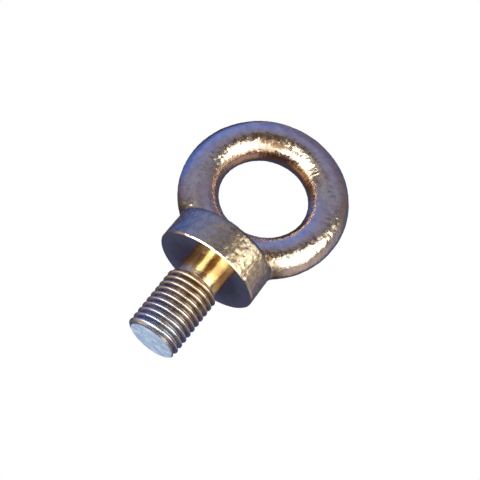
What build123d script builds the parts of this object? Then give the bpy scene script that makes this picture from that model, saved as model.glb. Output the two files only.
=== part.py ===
"""Collar eye bolt, M20 x 2.5.

A drop-forged lifting eye bolt: a round-section ring standing on a thick round collar, with a machined
seat under the collar, a turned neck, and a coarse metric thread down to a chamfered point.

Frame: millimetres. The origin is the middle of the seat, the machined underside of the collar. +Z runs
up through the eye, and the shank hangs down along -Z. The ring lies in the XZ plane, so the axis of its
hole is Y. The four pieces are regions of one forging: they meet face to face and nothing moves.
"""
from build123d import *
from math import radians, tan
import os

# Thread: ISO metric, coarse, right-hand
thread_diameter = 20.0
thread_pitch = 2.5
thread_radius = thread_diameter / 2
thread_depth = 0.6134 * thread_pitch
root_radius = thread_radius - thread_depth
crest_width = thread_pitch / 8
flank_angle = radians(30)

# Shank, measured down from the seat: turned neck, thread and point
shank_length = 33.0
neck_length = 6.5
neck_radius = 8.4
neck_fillet = 0.5
run_out = thread_radius - neck_radius
point_chamfer = 0.8

# Collar: a thick drum, slightly smaller at the top where the forging die lets go of it
collar_radius = 20.1
collar_top_radius = 19.9
collar_height = 13.3
rim_fillet = 1.6
seat_chamfer = 0.4

# Eye: a round-section ring whose lowest part runs into the top of the collar
ring_radius = 24.5
section_radius = 7.7
ring_centre_height = 37.3

# The neck's head fills a round socket in the collar, as wide as the fillet under the seat
socket_radius = neck_radius + neck_fillet
socket_depth = 4.0

os.makedirs("parts", exist_ok=True)


# Collar: flat annular seat underneath, rounded upper rim, and the socket for the neck's head
with BuildPart() as collar:
    with BuildSketch(Plane.XZ) as collar_profile:
        with BuildLine():
            Polyline(
                (socket_radius, 0),
                (collar_radius - seat_chamfer, 0),
                (collar_radius, seat_chamfer),
                (collar_top_radius, collar_height),
                (0, collar_height),
                (0, socket_depth),
                (socket_radius, socket_depth),
                close=True,
            )
        make_face()
    revolve(axis=Axis.Z)
    upper_rim = collar.edges().filter_by(GeomType.CIRCLE).group_by(Axis.Z)[-1]
    fillet(upper_rim, radius=rim_fillet)
collar.part.label = "collar"
export_step(collar.part, "parts/collar.step")


# Eye ring: the whole torus, less what the collar already fills
with BuildPart() as eye_ring:
    with BuildSketch(Plane.XY.offset(ring_centre_height)):
        with Locations((ring_radius, 0)):
            Circle(section_radius)
    revolve(axis=Axis((0, 0, ring_centre_height), (0, 1, 0)))
    add(collar.part, mode=Mode.SUBTRACT)
eye_ring.part.label = "eye_ring"
export_step(eye_ring.part, "parts/eye_ring.step")


# Neck: turned below the thread's root, with a fillet up to the seat and a head inside the collar
with BuildPart() as undercut_neck:
    with BuildSketch(Plane.XZ):
        with BuildLine():
            Polyline((socket_radius, 0), (socket_radius, socket_depth), (0, socket_depth))
            Polyline((0, socket_depth), (0, -neck_length), (neck_radius, -neck_length))
            Line((neck_radius, -neck_length), (neck_radius, -neck_fillet))
            CenterArc((socket_radius, -neck_fillet), neck_fillet, start_angle=90, arc_size=90)
        make_face()
    revolve(axis=Axis.Z)
undercut_neck.part.label = "undercut_neck"
export_step(undercut_neck.part, "parts/undercut_neck.step")


# Thread groove: the V of the ISO profile, swept up a helix that starts below the point and ends in the neck.
# The V stands proud of the bar by the overrun, and the helix begins below the point by the lead.
groove_overrun = 0.9
groove_lead = 3.0
groove_base = -shank_length - groove_lead
groove_top = thread_pitch / 2 - neck_length
half_opening = (thread_pitch - crest_width) / 2
half_root = half_opening - thread_depth * tan(flank_angle)
half_mouth = half_opening + groove_overrun * tan(flank_angle)
groove_depth = thread_depth + groove_overrun

with BuildPart() as thread_groove:
    with BuildLine() as helix:
        Helix(
            pitch=thread_pitch,
            height=groove_top - groove_base,
            radius=root_radius,
            center=(0, 0, groove_base),
        )
    start = Plane(origin=(root_radius, 0, groove_base), x_dir=(1, 0, 0), z_dir=(0, 1, 0))
    with BuildSketch(start):
        with BuildLine():
            Polyline(
                (0, -half_root),
                (groove_depth, -half_mouth),
                (groove_depth, half_mouth),
                (0, half_root),
                close=True,
            )
        make_face()
    sweep(path=helix.line, is_frenet=True)


# Threaded shank: a bar coned at both ends, with the groove cut along it
with BuildPart() as threaded_shank:
    with BuildSketch(Plane.XZ):
        with BuildLine():
            Polyline(
                (0, -neck_length),
                (neck_radius, -neck_length),
                (thread_radius, -neck_length - run_out),
                (thread_radius, point_chamfer - shank_length),
                (thread_radius - point_chamfer, -shank_length),
                (0, -shank_length),
                close=True,
            )
        make_face()
    revolve(axis=Axis.Z)
    add(thread_groove.part, mode=Mode.SUBTRACT)
threaded_shank.part.label = "threaded_shank"
export_step(threaded_shank.part, "parts/threaded_shank.step")
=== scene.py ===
"""Looks of the collar eye bolt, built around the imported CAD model.

Metres. The origin is the middle of the machined seat, +Z runs up through the eye, and the ring lies
in the XZ plane. Every size comes from the CAD nodes' boxes, apart from the small details below.
"""

import math

import bmesh
import bpy
import numpy as np
from mathutils import Matrix, Vector, noise


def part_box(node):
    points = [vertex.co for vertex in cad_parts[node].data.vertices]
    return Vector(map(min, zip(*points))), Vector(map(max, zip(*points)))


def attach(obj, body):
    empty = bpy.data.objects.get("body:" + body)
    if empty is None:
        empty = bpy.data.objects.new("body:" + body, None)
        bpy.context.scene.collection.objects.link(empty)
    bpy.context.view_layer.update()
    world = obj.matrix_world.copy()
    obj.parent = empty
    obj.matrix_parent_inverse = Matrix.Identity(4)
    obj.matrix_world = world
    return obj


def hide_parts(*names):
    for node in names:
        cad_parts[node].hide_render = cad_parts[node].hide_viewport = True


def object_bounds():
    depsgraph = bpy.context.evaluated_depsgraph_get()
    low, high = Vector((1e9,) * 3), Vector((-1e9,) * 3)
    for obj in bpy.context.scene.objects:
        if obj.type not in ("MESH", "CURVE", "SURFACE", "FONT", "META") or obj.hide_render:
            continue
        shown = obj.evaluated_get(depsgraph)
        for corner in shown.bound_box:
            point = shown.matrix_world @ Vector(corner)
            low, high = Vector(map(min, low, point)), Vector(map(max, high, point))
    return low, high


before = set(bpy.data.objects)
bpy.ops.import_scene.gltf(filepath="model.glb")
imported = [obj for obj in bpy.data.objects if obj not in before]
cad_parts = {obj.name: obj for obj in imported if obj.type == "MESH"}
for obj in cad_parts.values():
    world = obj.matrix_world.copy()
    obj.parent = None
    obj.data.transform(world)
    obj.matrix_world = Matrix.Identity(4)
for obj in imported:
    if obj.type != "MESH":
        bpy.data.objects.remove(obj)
cad_low, cad_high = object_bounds()

MM = 0.001

# Sizes, read from the CAD nodes
ring_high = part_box("eye_ring")[1]
collar_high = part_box("collar")[1]
neck_low, neck_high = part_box("undercut_neck")
shank_low, shank_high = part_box("threaded_shank")

SECTION_RADIUS = ring_high.y
RING_RADIUS = ring_high.x - SECTION_RADIUS
RING_CENTRE = ring_high.z - ring_high.x
COLLAR_RADIUS = collar_high.x
COLLAR_HEIGHT = collar_high.z
NECK_HEAD_RADIUS = neck_high.x
NECK_END = neck_low.z
THREAD_RADIUS = shank_high.x
SHANK_END = shank_low.z

# Details that the boxes don't hold
COLLAR_DRAFT = 0.2 * MM
RIM_ROUND = 1.6 * MM
JUNCTION_FILLET = 1.0 * MM
SEAT_CHAMFER = 0.55 * MM
NECK_FILLET = 0.5 * MM
NECK_RADIUS = NECK_HEAD_RADIUS - NECK_FILLET
THREAD_PITCH = 2.5 * MM
THREAD_DEPTH = 0.6134 * THREAD_PITCH
POINT_CHAMFER = 0.8 * MM

# How the forging's skin is made and divided
SKIN_VOXEL = 0.31 * MM
SKIN_BELOW_SEAT = 4 * MM
DRAWING_PASSES = 4
SPLIT_LEVEL = COLLAR_HEIGHT + 2.5 * MM
CUT_TOLERANCE = 1e-7
KEY_DIGITS = 8


# ---------------------------------------- mesh helpers

def make_object(name, mesh):
    piece = bpy.data.objects.new(name, mesh)
    bpy.context.scene.collection.objects.link(piece)
    return piece


def mesh_from(name, points, faces):
    mesh = bpy.data.meshes.new(name)
    mesh.from_pydata([tuple(p) for p in points], [], faces)
    mesh.validate()
    return mesh


def coordinates(mesh):
    flat = np.zeros(len(mesh.vertices) * 3)
    mesh.vertices.foreach_get("co", flat)
    return flat.reshape(-1, 3)


def noise_at(points, wavelength, seed):
    """Smooth noise, about -1 to 1, at each point, with features about one wavelength across."""
    shift = Vector((seed, 2 * seed, 3 * seed))
    return np.array([noise.noise(Vector(p) / wavelength + shift) for p in points])


# ---------------------------------------- forging: ring and collar

def ring_distance(p):
    """Signed distance to the ring, a torus about the Y axis."""
    from_centre_line = np.hypot(p[:, 0], p[:, 2] - RING_CENTRE) - RING_RADIUS
    return np.hypot(from_centre_line, p[:, 1]) - SECTION_RADIUS


def collar_distance(p):
    """Signed distance to the collar, a tapered drum with a rounded upper rim and no underside."""
    wall = COLLAR_RADIUS - COLLAR_DRAFT * p[:, 2] / COLLAR_HEIGHT
    beyond_wall = np.hypot(p[:, 0], p[:, 1]) - wall + RIM_ROUND
    beyond_top = p[:, 2] - COLLAR_HEIGHT + RIM_ROUND
    corner = np.hypot(np.maximum(beyond_wall, 0), np.maximum(beyond_top, 0))
    return corner + np.minimum(np.maximum(beyond_wall, beyond_top), 0) - RIM_ROUND


def forging_distance(p):
    """The ring and the collar, run together with a round fillet."""
    ring, drum = ring_distance(p), collar_distance(p)
    overlap = np.hypot(
        np.maximum(JUNCTION_FILLET - ring, 0), np.maximum(JUNCTION_FILLET - drum, 0)
    )
    return np.maximum(JUNCTION_FILLET, np.minimum(ring, drum)) - overlap


def forging_normal(p):
    step = 0.02 * MM
    sides = [
        forging_distance(p + step * axis) - forging_distance(p - step * axis)
        for axis in np.eye(3)
    ]
    slope = np.stack(sides, axis=1)
    return slope / np.linalg.norm(slope, axis=1, keepdims=True)


def hammer_strokes(p):
    """Places along the ring and, at a third of the scale, across it, so that noise is drawn out."""
    along = np.arctan2(p[:, 0], p[:, 2] - RING_CENTRE) * RING_RADIUS
    out = np.hypot(p[:, 0], p[:, 2] - RING_CENTRE) - RING_RADIUS
    return np.stack([along, out / 3, p[:, 1] / 3], axis=1)


def forged_relief(p):
    """How far the as-forged skin stands off the true shape. The collar's wall is the roughest, and
    everything is set back a little, so that the bumps stay within the CAD model's size."""
    on_wall = np.clip((COLLAR_HEIGHT - p[:, 2]) / MM, 0, 1)
    set_back = 0.08 * MM
    sway = 0.10 * MM * noise_at(p, 13 * MM, seed=3.1)
    hammered = 0.05 * MM * noise_at(p, 1.9 * MM, seed=7.7)
    hammered += 0.055 * MM * on_wall * noise_at(p, 1.3 * MM, seed=9.2)
    peel = 0.06 * MM * noise_at(p, 1.1 * MM, seed=12.3)
    strokes = 0.04 * MM * noise_at(hammer_strokes(p), 1.0 * MM, seed=5.5)
    hollows = np.minimum(noise_at(p, 1.7 * MM, seed=21.9) + 0.25, 0) ** 2
    pits = -(0.50 + 0.10 * on_wall) * MM * hollows
    return sway + hammered + peel + strokes + pits - set_back


def add_drum(body):
    """The collar as a plain drum, carried on below the seat, where the skin is cut off later."""
    depth = COLLAR_HEIGHT + SKIN_BELOW_SEAT
    middle = Matrix.Translation((0, 0, COLLAR_HEIGHT - depth / 2))
    bmesh.ops.create_cone(
        body, cap_ends=True, segments=96, depth=depth, matrix=middle,
        radius1=COLLAR_RADIUS, radius2=COLLAR_RADIUS,
    )


def add_torus(body):
    """The ring as a plain torus in the XZ plane."""
    around, across = 128, 48
    loops = []
    for i in range(around):
        a = 2 * math.pi * i / around
        loop = []
        for j in range(across):
            b = 2 * math.pi * j / across
            out = RING_RADIUS + SECTION_RADIUS * math.cos(b)
            aside = SECTION_RADIUS * math.sin(b)
            loop.append(body.verts.new((out * math.cos(a), aside, RING_CENTRE + out * math.sin(a))))
        loops.append(loop)
    for i in range(around):
        here, after = loops[i], loops[(i + 1) % around]
        for j in range(across):
            k = (j + 1) % across
            body.faces.new((here[j], here[k], after[k], after[j]))


def skin_over(body):
    """One fine, even skin over everything in a bmesh, which it frees."""
    rough = bpy.data.meshes.new("rough_forging")
    body.to_mesh(rough)
    body.free()
    holder = make_object("rough_forging", rough)
    remesh = holder.modifiers.new("skin", "REMESH")
    remesh.mode = "VOXEL"
    remesh.voxel_size = SKIN_VOXEL
    remeshed = holder.evaluated_get(bpy.context.evaluated_depsgraph_get())
    skin = bpy.data.meshes.new_from_object(remeshed)
    bpy.data.objects.remove(holder)
    return skin


def forging_mesh():
    """The skin of ring and collar: drawn onto the true shape, given its relief, and chamfered."""
    body = bmesh.new()
    add_drum(body)
    add_torus(body)
    bmesh.ops.recalc_face_normals(body, faces=body.faces)
    skin = skin_over(body)

    p = coordinates(skin)
    open_end = p[:, 2] < -SKIN_BELOW_SEAT / 2
    for _ in range(DRAWING_PASSES):
        moved = p - forging_distance(p)[:, None] * forging_normal(p)
        p = np.where(open_end[:, None], p, moved)
    p = p + np.where(open_end, 0, forged_relief(p))[:, None] * forging_normal(p)

    # The seat's chamfer: near the seat, nothing stands out past a 45 degree cone
    radius = np.maximum(np.hypot(p[:, 0], p[:, 1]), MM)
    cone = COLLAR_RADIUS - SEAT_CHAMFER + p[:, 2]
    shrink = np.where(p[:, 2] < SEAT_CHAMFER, np.minimum(1, cone / radius), 1)
    p[:, :2] *= shrink[:, None]
    p = np.clip(p, np.array(cad_low), np.array(cad_high))
    skin.vertices.foreach_set("co", p.ravel())
    skin.update()
    return skin


def open_edges(body):
    return [e for e in body.edges if e.is_boundary]


def cut_level(body, height, **settings):
    """A level cut through a bmesh; with clear_inner, what is below it goes."""
    everything = body.verts[:] + body.edges[:] + body.faces[:]
    bmesh.ops.bisect_plane(
        body, geom=everything, dist=CUT_TOLERANCE,
        plane_co=(0, 0, height), plane_no=(0, 0, 1), **settings,
    )


def place_key(co):
    """A vertex's place, rounded, so that the same place in two meshes has the same key."""
    return tuple(round(c, KEY_DIGITS) for c in co)


def is_machined(face):
    """The seat and its chamfer, as against the forged wall."""
    return face.normal.z < -0.5 and face.calc_center_median().z < SEAT_CHAMFER


def half_of_forging(whole, name, is_above, normal_at):
    """The part of the skin above or below the split, closed, with the whole skin's normals."""
    half = whole.copy()
    unwanted = [f for f in half.faces if (f.calc_center_median().z > SPLIT_LEVEL) != is_above]
    bmesh.ops.delete(half, geom=unwanted, context="FACES")
    caps = bmesh.ops.holes_fill(half, edges=open_edges(half))["faces"]
    for face in half.faces:
        face.smooth = True
        face.material_index = 1 if is_machined(face) else 0
    for face in caps:
        face.smooth = False
    mesh = bpy.data.meshes.new(name)
    half.to_mesh(mesh)
    half.free()
    seamless = []
    for poly in mesh.polygons:
        flat = not poly.use_smooth or poly.material_index == 1
        for loop in poly.loop_indices:
            key = place_key(mesh.vertices[mesh.loops[loop].vertex_index].co)
            seamless.append(poly.normal if flat else normal_at.get(key, poly.normal))
    mesh.normals_split_custom_set(seamless)
    return make_object(name, mesh)


def add_forging():
    """The skin, faced off at the seat, and divided by a level cut just above the fillet."""
    whole = bmesh.new()
    whole.from_mesh(forging_mesh())
    cut_level(whole, 0, clear_inner=True)
    bmesh.ops.holes_fill(whole, edges=open_edges(whole))
    cut_level(whole, SPLIT_LEVEL)
    whole.normal_update()
    normal_at = {place_key(v.co): v.normal.copy() for v in whole.verts}
    ring = half_of_forging(whole, "eye_ring_forging", True, normal_at)
    drum = half_of_forging(whole, "collar_forging", False, normal_at)
    whole.free()
    return ring, drum


# ---------------------------------------- turned neck and thread

def lathe(name, profile, segments):
    """A closed solid of revolution from (radius, height) points that run from axis to axis."""
    points, faces = [], []
    rings = profile[1:-1]
    for radius, height in rings:
        for k in range(segments):
            a = 2 * math.pi * k / segments
            points.append((radius * math.cos(a), radius * math.sin(a), height))
    for r in range(len(rings) - 1):
        low, high = r * segments, (r + 1) * segments
        for k in range(segments):
            n = (k + 1) % segments
            faces.append((low + k, low + n, high + n, high + k))
    faces.append(tuple(reversed(range(segments))))
    last = (len(rings) - 1) * segments
    faces.append(tuple(range(last, last + segments)))
    return mesh_from(name, points, faces)


def add_neck():
    """The turned neck, with fine tool rings, and its wider head, which is hidden in the collar."""
    head_top, head_bottom = 1.5 * MM, 0.1 * MM
    profile = [
        (0, head_top),
        (NECK_HEAD_RADIUS, head_top),
        (NECK_HEAD_RADIUS, head_bottom),
        (NECK_RADIUS, head_bottom),
    ]
    tool_feed = 0.1 * MM
    tool_waver, waver_length = 0.012 * MM, 0.35 * MM
    rings = int(-NECK_END / tool_feed)
    for i in range(rings + 1):
        height = NECK_END * i / rings
        waver = tool_waver * noise.noise(Vector((0, 0, height / waver_length)))
        profile.append((NECK_RADIUS + waver, height))
    profile.append((0, NECK_END))
    profile.reverse()
    mesh = lathe("neck_turned", profile, segments=192)
    for poly in mesh.polygons:
        poly.use_smooth = len(poly.vertices) == 4
    return make_object("neck_turned", mesh)


def thread_radius_at(phase, height):
    """Radius of the thread at a height and a phase (0 is mid-crest). Its flanks are softened, and
    it is coned at both ends."""
    off_crest = abs((phase + 0.5) % 1 - 0.5)
    half_crest, flank = 1 / 16, THREAD_DEPTH * math.tan(math.radians(30)) / THREAD_PITCH
    straight = min(max((off_crest - half_crest) / flank, 0), 1)
    rounded = straight * straight * (3 - 2 * straight)
    radius = THREAD_RADIUS - THREAD_DEPTH * (0.35 * straight + 0.65 * rounded)
    point = THREAD_RADIUS - POINT_CHAMFER + (height - SHANK_END)
    run_out = NECK_RADIUS + (NECK_END - height)
    return min(radius, point, run_out)


def add_thread():
    """The threaded shank, with rows of vertices that follow the helix, so that crests are clean."""
    columns, rows_per_pitch = 144, 32
    step = THREAD_PITCH / rows_per_pitch
    row_count = int(math.ceil((NECK_END - SHANK_END + THREAD_PITCH) / step)) + 1
    points, faces = [], []
    for c in range(columns):
        a = 2 * math.pi * c / columns
        for r in range(row_count):
            climb = r / rows_per_pitch - 1 + c / columns
            height = min(max(SHANK_END + climb * THREAD_PITCH, SHANK_END), NECK_END)
            phase = (height - SHANK_END) / THREAD_PITCH - c / columns
            radius = thread_radius_at(phase, height)
            points.append((radius * math.cos(a), radius * math.sin(a), height))
    for c in range(columns):
        turn = rows_per_pitch if c == columns - 1 else 0
        for r in range(row_count - 1 - turn):
            here, beside = c * row_count + r, ((c + 1) % columns) * row_count + r + turn
            faces.append((here, beside, beside + 1, here + 1))
    mesh = mesh_from("shank_thread", points, faces)
    shaped = bmesh.new()
    shaped.from_mesh(mesh)
    bmesh.ops.remove_doubles(shaped, verts=shaped.verts, dist=0.002 * MM)
    bmesh.ops.dissolve_degenerate(shaped, edges=shaped.edges, dist=0.001 * MM)
    loose = [v for v in shaped.verts if not v.link_faces]
    bmesh.ops.delete(shaped, geom=loose, context="VERTS")
    for face in shaped.faces:
        face.smooth = True
    caps = bmesh.ops.holes_fill(shaped, edges=open_edges(shaped))["faces"]
    for face in caps:
        face.smooth = False
        face.material_index = 1
    bmesh.ops.recalc_face_normals(shaped, faces=shaped.faces)
    shaped.to_mesh(mesh)
    shaped.free()
    return make_object("shank_thread", mesh)


# ---------------------------------------- materials

def add_node(tree, kind, inputs=None, **settings):
    """A node with its settings, and with each input either linked to a socket or given a value."""
    node = tree.nodes.new(kind)
    for key, value in settings.items():
        setattr(node, key, value)
    for key, value in (inputs or {}).items():
        if isinstance(value, bpy.types.NodeSocket):
            tree.links.new(value, node.inputs[key])
        else:
            node.inputs[key].default_value = value
    return node


class Nodes:
    """A small helper for writing a material as a chain of nodes. Lengths in it are millimetres."""

    def __init__(self, name):
        self.material = bpy.data.materials.new(name)
        self.material.use_nodes = True
        self.tree = self.material.node_tree
        self.shader = self.tree.nodes["Principled BSDF"]
        here = self.add("ShaderNodeTexCoord").outputs["Object"]
        self.mm = self.vector("SCALE", {0: here, 3: 1 / MM})

    def add(self, kind, inputs=None, **settings):
        return add_node(self.tree, kind, inputs, **settings)

    def vector(self, operation, inputs, output="Vector"):
        return self.add("ShaderNodeVectorMath", inputs, operation=operation).outputs[output]

    def height(self):
        return self.add("ShaderNodeSeparateXYZ", {0: self.mm}).outputs[2]

    def reach(self, centre, plane):
        """Distance from a centre, counting only the axes that the plane has as 1."""
        away = self.vector("SUBTRACT", {0: self.mm, 1: centre})
        flat = self.vector("MULTIPLY", {0: away, 1: plane})
        return self.vector("LENGTH", {0: flat}, output="Value")

    def radius(self):
        """Distance from the bolt's axis."""
        return self.reach((0, 0, 0), (1, 1, 0))

    def noise(self, size, detail=3.0, roughness=0.55):
        """Noise with features about `size` across."""
        inputs = {"Vector": self.mm, "Scale": 1 / size, "Detail": detail, "Roughness": roughness}
        return self.add("ShaderNodeTexNoise", inputs).outputs["Fac"]

    def tool_marks(self, along, scale):
        """Noise that changes in one direction only, as a lathe tool leaves it."""
        inputs = {"W": along, "Scale": scale, "Detail": 3.0, "Roughness": 0.7}
        return self.add("ShaderNodeTexNoise", inputs, noise_dimensions="1D").outputs["Fac"]

    def ramp(self, value, low, high, to_low=0.0, to_high=1.0):
        """A smooth climb from to_low to to_high as the value goes from low to high."""
        inputs = {"Value": value, 1: low, 2: high, 3: to_low, 4: to_high}
        node = self.add("ShaderNodeMapRange", inputs, interpolation_type="SMOOTHSTEP")
        return node.outputs["Result"]

    def mix(self, factor, a, b):
        return self.add("ShaderNodeMix", {0: factor, 6: a, 7: b}, data_type="RGBA").outputs[2]

    def math(self, operation, a, b=0.0):
        return self.add("ShaderNodeMath", {0: a, 1: b}, operation=operation).outputs[0]

    def bump(self, height, depth, before=None):
        """Relief of `height` (0 to 1) times `depth`."""
        inputs = {"Height": height, "Distance": depth * MM}
        if before is not None:
            inputs["Normal"] = before
        return self.add("ShaderNodeBump", inputs).outputs["Normal"]

    def finish(self, colour, roughness, normal, metallic=1.0):
        self.tree.links.new(colour, self.shader.inputs["Base Color"])
        self.tree.links.new(roughness, self.shader.inputs["Roughness"])
        self.tree.links.new(normal, self.shader.inputs["Normal"])
        self.shader.inputs["Metallic"].default_value = metallic
        return self.material


# Tints of the yellow-passivated zinc and of what dulls it, with painted shade for the seat, the
# junction and the inside of the eye
GOLD = (0.84, 0.65, 0.38, 1)
PALE_GOLD = (0.86, 0.74, 0.56, 1)
OLIVE_GOLD = (0.74, 0.61, 0.40, 1)
NECK_GOLD = (0.90, 0.72, 0.40, 1)
SHADED_GOLD = (0.48, 0.32, 0.17, 1)
ROSE = (0.80, 0.62, 0.48, 1)
SLATE = (0.47, 0.44, 0.42, 1)
OLIVE = (0.42, 0.38, 0.32, 1)
OXIDE = (0.30, 0.21, 0.13, 1)
GRIME_AND_SHADE = (0.22, 0.18, 0.17, 1)
WEAR_AND_SHADE_BROWN = (0.58, 0.36, 0.21, 1)

# Tints of the painted highlight on the seat's chamfer, of the thread's roots (painted shade) and
# crests (painted highlight) near its end and near the neck, and of the painted reflection on the
# end face
CHAMFER_HIGHLIGHT = (0.86, 0.83, 0.78, 1)
ROOT_SHADE_GREY = (0.25, 0.27, 0.32, 1)
ROOT_SHADE_BROWN = (0.21, 0.14, 0.09, 1)
CREST_HIGHLIGHT_GREY = (0.66, 0.72, 0.82, 1)
CREST_HIGHLIGHT_GOLD = (0.84, 0.72, 0.52, 1)
PAINTED_REFLECTION_BLUE = (0.32, 0.44, 0.63, 1)
PAINTED_REFLECTION_PALE = (0.44, 0.56, 0.74, 1)
SCAR_GREY = (0.36, 0.38, 0.44, 1)


def forged_plating(name, main_tint, cloud_tint, blotch_tint, mottling, speck_start, dullness):
    """Plating over the forged skin: clouds, blotches, specks and pores, with grime and painted
    shade where the ring meets the collar, and wear and painted shade inside the eye.
    """
    n = Nodes(name)
    clouds = n.ramp(n.noise(9.0), 0.38, 0.66)
    tint = n.mix(clouds, main_tint, cloud_tint)
    blotches = n.ramp(n.noise(2.6, detail=5.0, roughness=0.65), 0.42, 0.62)
    tint = n.mix(n.math("MULTIPLY", blotches, mottling), tint, blotch_tint)
    specks = n.ramp(n.noise(0.8, detail=5.0, roughness=0.65), speck_start, speck_start + 0.16)
    tint = n.mix(n.math("MULTIPLY", specks, mottling), tint, OXIDE)
    pores = n.ramp(n.noise(2.2, detail=6.0, roughness=0.7), 0.66, 0.76)
    tint = n.mix(n.math("MULTIPLY", pores, 2 * mottling), tint, OXIDE)

    # Grime and painted shade where the ring meets the collar, with a ragged edge
    off_corner = n.math("ABSOLUTE", n.math("SUBTRACT", n.height(), COLLAR_HEIGHT / MM))
    off_corner = n.math("ADD", off_corner, n.math("MULTIPLY", n.noise(1.8), 2.5))
    grime_and_shade = n.ramp(off_corner, 1.2, 4.4, 0.80, 0.0)
    tint = n.mix(grime_and_shade, tint, GRIME_AND_SHADE)

    # Brown wear and painted shade inside the eye, with a ragged edge
    eye_radius = (RING_RADIUS - SECTION_RADIUS) / MM
    from_eye = n.reach((0, 0, RING_CENTRE / MM), (1, 0, 1))
    from_eye = n.math("ADD", from_eye, n.noise(1.5))
    wear_and_shade = n.ramp(from_eye, eye_radius + 0.7, eye_radius + 2.6, 0.85, 0.0)
    tint = n.mix(wear_and_shade, tint, WEAR_AND_SHADE_BROWN)

    dull = n.ramp(n.noise(1.6, detail=4.0), 0.35, 0.7, dullness, dullness + 0.12)
    roughness = n.math("ADD", dull, n.math("MULTIPLY", specks, 0.10))
    grain = n.bump(n.noise(0.55, detail=4.0, roughness=0.6), 0.06)
    return n.finish(tint, roughness, n.bump(pores, -0.04, grain))


def machined_finish(n, tint, along, base_roughness):
    """Ends a turned material: the tool's fine marks, in tint and in relief, and a soft gloss."""
    marks = n.tool_marks(along, 5.0)
    tint = n.mix(n.ramp(marks, 0.62, 0.8, 0.0, 0.45), tint, OXIDE)
    roughness = n.ramp(n.noise(2.5), 0.3, 0.7, base_roughness, base_roughness + 0.07)
    return n.finish(tint, roughness, n.bump(marks, 0.02, n.bump(n.noise(0.5), 0.01)))


def seat_plating():
    """Faced seat: painted shade near the neck, golden at the rim, with a painted highlight on its
    chamfer.
    """
    n = Nodes("seat_turned")
    radius = n.radius()
    clouds = n.ramp(n.noise(5.0), 0.35, 0.68)
    # Painted shade: darker near the neck, lighter towards the rim
    outwards = n.ramp(radius, NECK_RADIUS / MM, COLLAR_RADIUS / MM, -0.3, 1.0)
    brightness = n.math("ADD", outwards, n.math("MULTIPLY", clouds, 0.3))
    tint = n.mix(brightness, SHADED_GOLD, GOLD)
    chamfer_start = (COLLAR_RADIUS - SEAT_CHAMFER) / MM
    # Painted highlight: the chamfer is tinted near white all round
    tint = n.mix(n.ramp(radius, chamfer_start - 0.1, chamfer_start + 0.1, 0.0, 0.8), tint, CHAMFER_HIGHLIGHT)
    return machined_finish(n, tint, radius, 0.07)


def neck_plating():
    """Turned neck, bright gold."""
    n = Nodes("neck_turned")
    tint = n.mix(n.ramp(n.noise(5.0), 0.35, 0.68), NECK_GOLD, GOLD)
    return machined_finish(n, tint, n.height(), 0.03)


def thread_plating():
    """Plated thread: painted highlight on the crests and painted shade in the darker, duller roots,
    greyer towards the end.
    """
    n = Nodes("thread_plating")
    radius = n.radius()
    crest, root = THREAD_RADIUS / MM, (THREAD_RADIUS - THREAD_DEPTH) / MM
    up_shank = n.ramp(n.height(), SHANK_END / MM, SHANK_END / MM / 3)
    # Painted shade in the roots and painted highlight on the crests, browner and more golden near
    # the neck
    roots = n.mix(up_shank, ROOT_SHADE_GREY, ROOT_SHADE_BROWN)
    crests = n.mix(up_shank, CREST_HIGHLIGHT_GREY, CREST_HIGHLIGHT_GOLD)
    tint = n.mix(n.ramp(radius, root + 0.15, crest - 0.1), roots, crests)
    clouds = n.ramp(n.noise(4.0), 0.4, 0.7)
    tint = n.mix(n.math("MULTIPLY", clouds, 0.5), tint, ROSE)
    roughness = n.ramp(radius, root, crest, 0.42, 0.24)
    return n.finish(tint, roughness, n.bump(n.noise(0.45, detail=4.0), 0.03))


def end_plating():
    """The flat end of the shank: faced and scarred, tinted light blue as a painted reflection, and
    grey at its rim.
    """
    n = Nodes("end_plating")
    radius = n.radius()
    end_radius = (THREAD_RADIUS - POINT_CHAMFER) / MM
    clouds = n.ramp(n.noise(3.0, detail=4.0), 0.35, 0.7)
    # Painted reflection: light blue tints that stand in for the pale surroundings
    tint = n.mix(clouds, PAINTED_REFLECTION_BLUE, PAINTED_REFLECTION_PALE)
    rim = n.ramp(radius, end_radius - 1.6, end_radius, 0.0, 0.35)
    scars = n.ramp(n.noise(1.0, detail=5.0), 0.6, 0.75)
    tint = n.mix(n.math("MAXIMUM", rim, n.math("MULTIPLY", scars, 0.6)), tint, SCAR_GREY)
    roughness = n.ramp(clouds, 0.0, 1.0, 0.45, 0.6)
    normal = n.bump(n.tool_marks(radius, 3.5), 0.06, n.bump(n.noise(0.6, detail=4.0), 0.06))
    return n.finish(tint, roughness, normal, metallic=0.35)


# ---------------------------------------- build the pieces

eye_ring, collar = add_forging()
neck = add_neck()
thread = add_thread()

ring_plating = forged_plating(
    "forged_ring_plating", PALE_GOLD, ROSE, SLATE, mottling=0.45, speck_start=0.58, dullness=0.13
)
collar_plating = forged_plating(
    "forged_collar_plating", OLIVE_GOLD, GOLD, OLIVE, mottling=0.62, speck_start=0.50, dullness=0.21
)

for piece, node, slot_name, materials in (
    (eye_ring, "eye_ring", "forged_ring", [ring_plating]),
    (collar, "collar", "forged_collar", [collar_plating, seat_plating()]),
    (neck, "undercut_neck", "turned_neck", [neck_plating()]),
    (thread, "threaded_shank", "cut_thread", [thread_plating(), end_plating()]),
):
    for material in materials:
        piece.data.materials.append(material)
    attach(piece, "root")
    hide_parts(node)


# ---------------------------------------- camera

VIEW_AZIMUTH, VIEW_ELEVATION, VIEW_ROLL = (math.radians(a) for a in (9.5, -24.1, 38.5))
AIM = Vector((0.0027, 0.0005, 0.0181))
DISTANCE = 0.4243
LENS = 87.1

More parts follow.
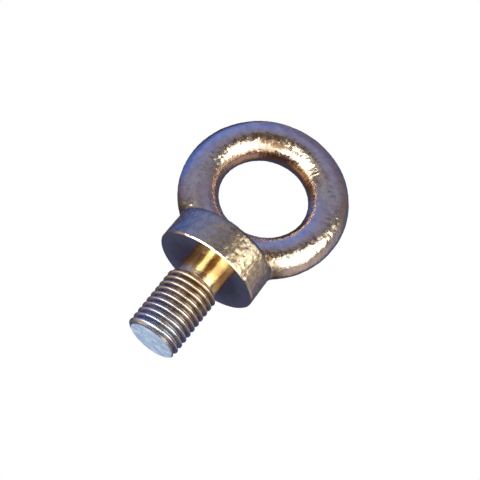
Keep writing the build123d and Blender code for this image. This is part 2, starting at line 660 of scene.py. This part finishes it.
back = Vector((
    math.sin(VIEW_AZIMUTH) * math.cos(VIEW_ELEVATION),
    -math.cos(VIEW_AZIMUTH) * math.cos(VIEW_ELEVATION),
    math.sin(VIEW_ELEVATION),
))
level = Vector((0, 0, 1)).cross(back).normalized()
upright = back.cross(level)
right = level * math.cos(VIEW_ROLL) + upright * math.sin(VIEW_ROLL)
up = back.cross(right)

camera = bpy.data.objects.new("camera", bpy.data.cameras.new("camera"))
camera.data.lens = LENS
camera.data.sensor_width = 36
camera.data.clip_start, camera.data.clip_end = 0.01, 20
facing = Matrix((right, up, back)).transposed().to_4x4()
camera.matrix_world = Matrix.Translation(AIM + back * DISTANCE) @ facing
bpy.context.scene.collection.objects.link(camera)
bpy.context.scene.camera = camera


# ---------------------------------------- studio: lights, surroundings, floor

def towards(around, above):
    """A direction from the object: degrees round to the right of the camera, and degrees up."""
    a, e = math.radians(around), math.radians(above)
    return (right * math.sin(a) + back * math.cos(a)) * math.cos(e) + up * math.sin(e)


def softbox(name, around, above, width, height, tilt, watts, colour, distance=0.6):
    """A rectangular light that faces the object, turned about its middle by `tilt` degrees."""
    light = bpy.data.lights.new(name, "AREA")
    light.shape = "RECTANGLE"
    light.size, light.size_y = width, height
    light.energy, light.color = watts, colour
    box = bpy.data.objects.new(name, light)
    out = towards(around, above)
    side = up.cross(out).normalized()
    turn = Matrix((side, out.cross(side), out)).transposed().to_4x4()
    turn = turn @ Matrix.Rotation(math.radians(tilt), 4, "Z")
    box.matrix_world = Matrix.Translation(AIM + out * distance) @ turn
    bpy.context.scene.collection.objects.link(box)


softbox("softbox_left", -50, -20, 0.62, 0.70, 6, 5.0, (0.97, 0.97, 0.95))
softbox("softbox_right", 46, -15, 0.57, 0.64, -22, 3.0, (0.97, 0.99, 1.0))
softbox("softbox_strip", -21, 17, 0.30, 0.09, 0, 0.55, (0.90, 1.0, 1.0))

# Soft patches of colour laid over each other around the object: degrees round from the camera,
# degrees up, the angle within which the patch is full, the one beyond which it is gone, and colour
PATCHES = (
    (0, 80, 45, 100, (0.26, 0.275, 0.46)),
    (180, 58, 32, 66, (0.22, 0.31, 0.84)),
    (125, 35, 15, 48, (0.17, 0.15, 0.26)),
    (105, -24, 22, 46, (0.32, 0.32, 0.40)),
    (114, 10, 8, 24, (0.22, 0.17, 0.11)),
    (105, -50, 12, 40, (0.52, 0.45, 0.50)),
    (150, 0, 18, 42, (0.10, 0.12, 0.28)),
    (-170, -10, 22, 50, (0.08, 0.08, 0.16)),
    (-90, -22, 15, 30, (0.62, 0.44, 0.26)),
    (-153, -36, 14, 34, (0.062, 0.08, 0.215)),
    (-142, 42, 15, 31, (0.09, 0.18, 0.70)),
    (-166, 32, 10, 22, (0.06, 0.04, 0.03)),
    (-35, -8, 39, 49, (0.10, 0.075, 0.06)),
    (5, 4, 36, 46, (0.10, 0.075, 0.06)),
    (45, -10, 37, 47, (0.12, 0.09, 0.065)),
    (2, -12, 8, 22, (0.48, 0.30, 0.16)),
    (-18, 26, 5, 18, (0.55, 0.50, 0.44)),
    (-5, -50, 14, 30, (1.6, 1.45, 1.2)),
)
BEYOND_PATCHES = (0.10, 0.058, 0.034)


def surroundings():
    """White to the camera; to the metal, which reflects it, a warm dark with patches of colour."""
    world = bpy.data.worlds.new("studio")
    bpy.context.scene.world = world
    world.use_nodes = True
    tree = world.node_tree
    tree.nodes.clear()
    direction = add_node(tree, "ShaderNodeTexCoord").outputs["Generated"]
    colour_there = BEYOND_PATCHES + (1,)
    for around, above, full, faded, colour in PATCHES:
        middle = tuple(towards(around, above))
        nearness = add_node(
            tree, "ShaderNodeVectorMath", {0: direction, 1: middle}, operation="DOT_PRODUCT"
        ).outputs["Value"]
        limits = {1: math.cos(math.radians(faded)), 2: math.cos(math.radians(full))}
        amount = add_node(
            tree, "ShaderNodeMapRange", {"Value": nearness, **limits},
            interpolation_type="SMOOTHSTEP",
        ).outputs["Result"]
        colour_there = add_node(
            tree, "ShaderNodeMix", {0: amount, 6: colour_there, 7: colour + (1,)}, data_type="RGBA"
        ).outputs[2]
    seen = add_node(tree, "ShaderNodeLightPath").outputs["Is Camera Ray"]
    glowing = add_node(tree, "ShaderNodeBackground", {"Color": colour_there}).outputs[0]
    white = add_node(tree, "ShaderNodeBackground", {"Color": (1, 1, 1, 1)}).outputs[0]
    either = add_node(tree, "ShaderNodeMixShader", {0: seen, 1: glowing, 2: white}).outputs[0]
    add_node(tree, "ShaderNodeOutputWorld", {"Surface": either})


def add_floor():
    """A plain pale floor, well under the object, because the camera looks up from below it."""
    z, half = -0.40, 8.0
    corners = [(-half, -half, z), (half, -half, z), (half, half, z), (-half, half, z)]
    floor = make_object("floor", mesh_from("floor", corners, [(0, 1, 2, 3)]))
    pale = bpy.data.materials.new("pale_floor")
    pale.use_nodes = True
    shader = pale.node_tree.nodes["Principled BSDF"]
    shader.inputs["Base Color"].default_value = (0.8, 0.8, 0.8, 1)
    shader.inputs["Roughness"].default_value = 0.9
    shader.inputs["Emission Color"].default_value = (1, 1, 1, 1)
    shader.inputs["Emission Strength"].default_value = 0.75
    floor.data.materials.append(pale)
    floor.visible_glossy = False
    floor.visible_diffuse = False
    floor.visible_shadow = False


surroundings()
add_floor()
bpy.context.scene.view_settings.view_transform = "Standard"
